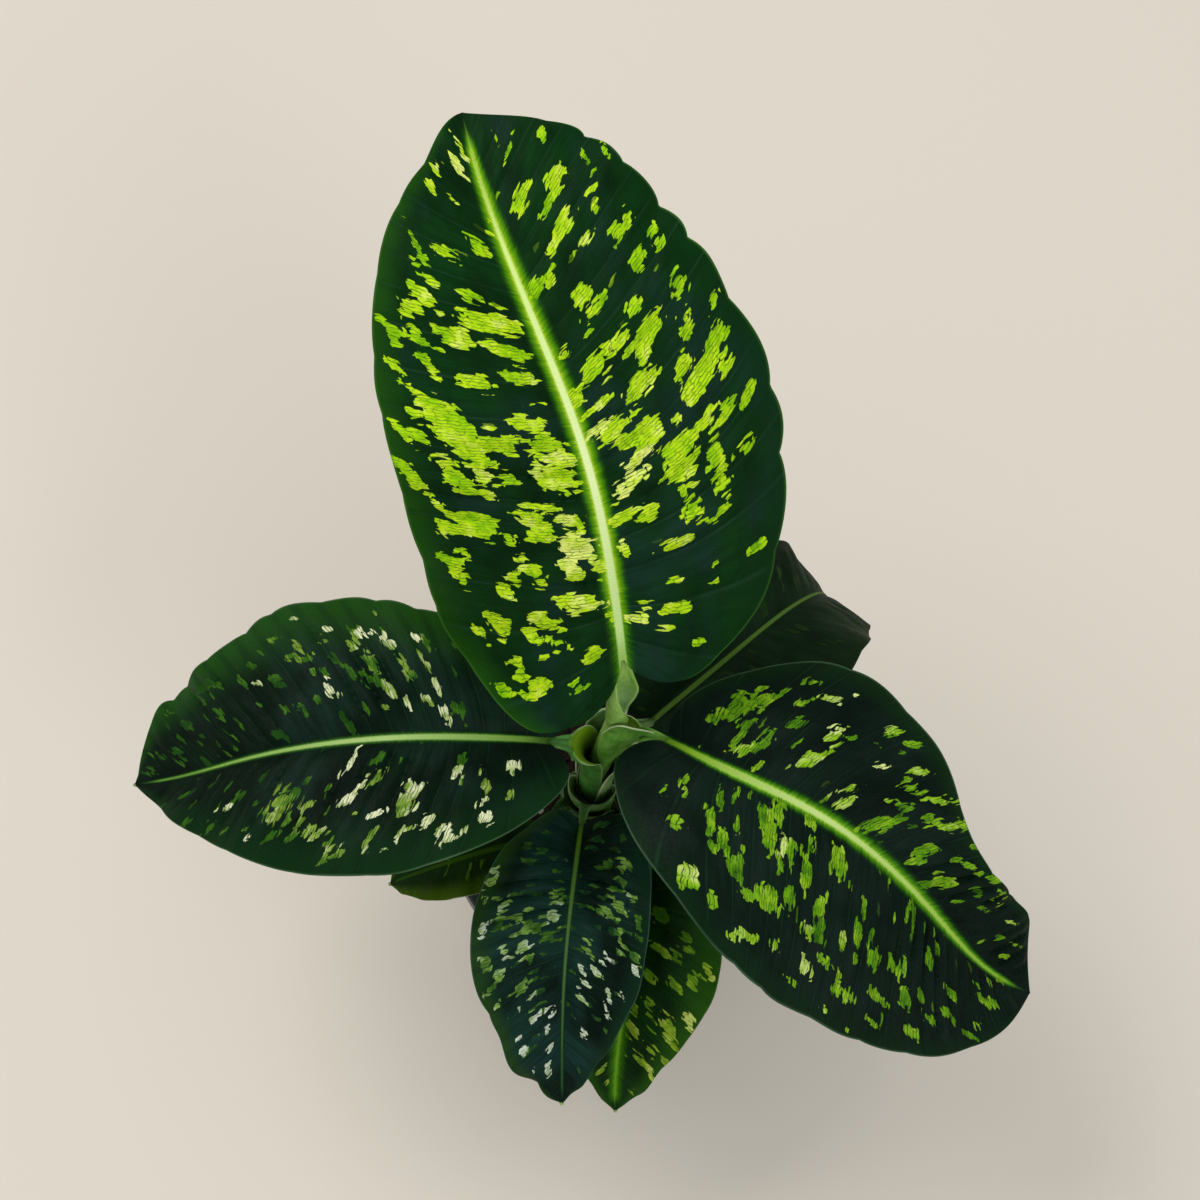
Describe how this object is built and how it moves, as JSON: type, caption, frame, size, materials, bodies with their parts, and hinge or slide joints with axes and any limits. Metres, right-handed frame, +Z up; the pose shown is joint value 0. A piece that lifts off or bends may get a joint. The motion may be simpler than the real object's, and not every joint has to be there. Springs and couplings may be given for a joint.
{
  "type": "potted dieffenbachia",
  "caption": "Low dieffenbachia in a plain round nursery pot: broad dark green leaves with yellow-green spots, sheathed stalks rolled round a short stem, potting mix.",
  "frame": {"origin": "middle of the flat disc in the underside of the pot, on the surface that the pot stands on", "axes": "+Z up along the pot's axis; +X to the right and +Y to the back of the plant as the picture shows it, with the largest leaf leaning to the back"},
  "size_m": [0.4231, 0.3751, 0.4316],
  "materials": {
    "pot": "dark charcoal injection-moulded polypropylene, faintly satin",
    "soil": "moist peat and bark potting mix with pale perlite grains",
    "stem": "fleshy green cane with pale ring scars",
    "stalk": "smooth waxy light green stalk with a paler margin",
    "young_blade": "glossy dark green leaf with vivid yellow-green spots and a bright midrib",
    "grown_blade": "satin blackish green leaf with yellow-green and cream spots",
    "old_blade": "duller green leaf with faded green and silvery spots"
  },
  "bodies": {
    "root": {"pot": "pot", "potting_mix": "soil", "stem": "stem", "petiole_newest": "stalk", "blade_newest": "young_blade", "petiole_right": "stalk", "blade_right": "grown_blade", "petiole_left": "stalk", "blade_left": "grown_blade", "petiole_back": "stalk", "blade_back": "old_blade", "petiole_front": "stalk", "blade_front": "old_blade", "petiole_low_left": "stalk", "blade_low_left": "old_blade", "petiole_low_front": "stalk", "blade_low_front": "old_blade"}
  },
  "joints": []
}
